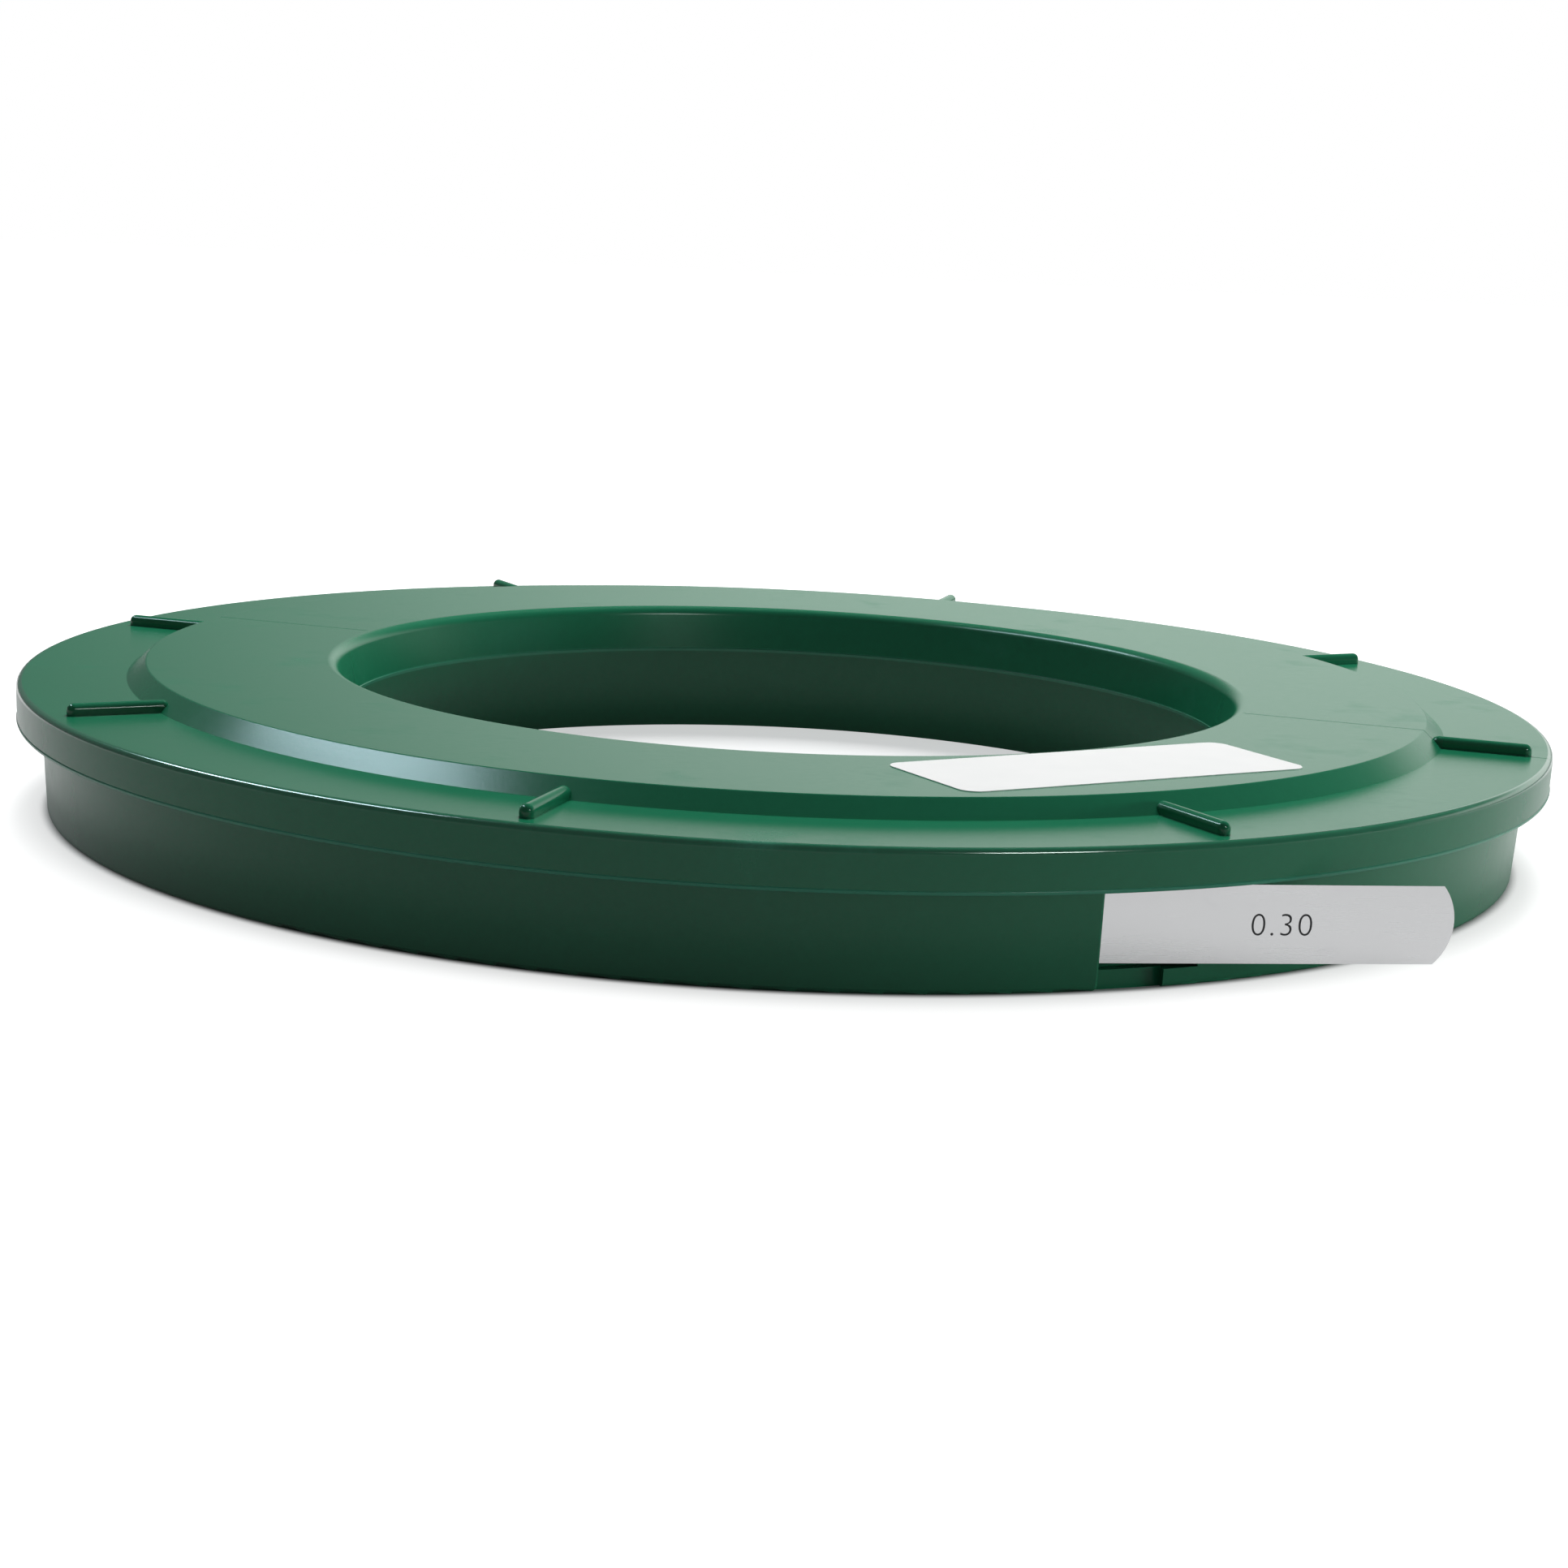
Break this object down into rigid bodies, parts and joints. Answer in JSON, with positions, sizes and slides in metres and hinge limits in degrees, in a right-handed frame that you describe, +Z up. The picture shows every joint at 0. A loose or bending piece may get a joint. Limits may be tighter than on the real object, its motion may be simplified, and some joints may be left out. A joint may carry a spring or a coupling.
{
  "type": "strip dispenser case",
  "caption": "Flat ring-shaped plastic case for a coil of thin steel strip, which is pulled out straight through a slot in the tray's wall, under a lift-off lid with short ribs.",
  "frame": {"origin": "on the ring's axis, at the level of the table that the case lies on", "axes": "+Z up along the ring's axis, +X the way the free strip is pulled, the exit slot on the -Y side"},
  "size_m": [0.2925, 0.2926, 0.0275],
  "materials": {
    "case_plastic": "moulded, semi-gloss green",
    "strip_steel": "cold rolled, satin, with a plain printed size",
    "label_film": "white film, left blank"
  },
  "bodies": {
    "case": {"base_tray": "case_plastic"},
    "cover": {"lid": "case_plastic", "blank_label": "label_film"},
    "coil": {"strip_coil": "strip_steel"},
    "free_end": {"strip_tongue": "strip_steel"}
  },
  "joints": [
    {"name": "lid_lift", "type": "slide", "parent": "case", "child": "cover", "axis": [0, 0, 1], "range_m": [0, 0.05]},
    {"name": "coil_turn", "type": "hinge", "parent": "case", "child": "coil", "pos_m": [0, 0, 0.0104], "axis": [0, 0, 1], "range_deg": [-8, 11.5]},
    {"name": "strip_pull", "type": "slide", "parent": "case", "child": "free_end", "axis": [1, 0, 0], "range_m": [-0.019, 0.0272]}
  ],
  "couplings": [
    {"joint": "strip_pull", "follows": "coil_turn", "m_per_rad": 0.1351}
  ]
}
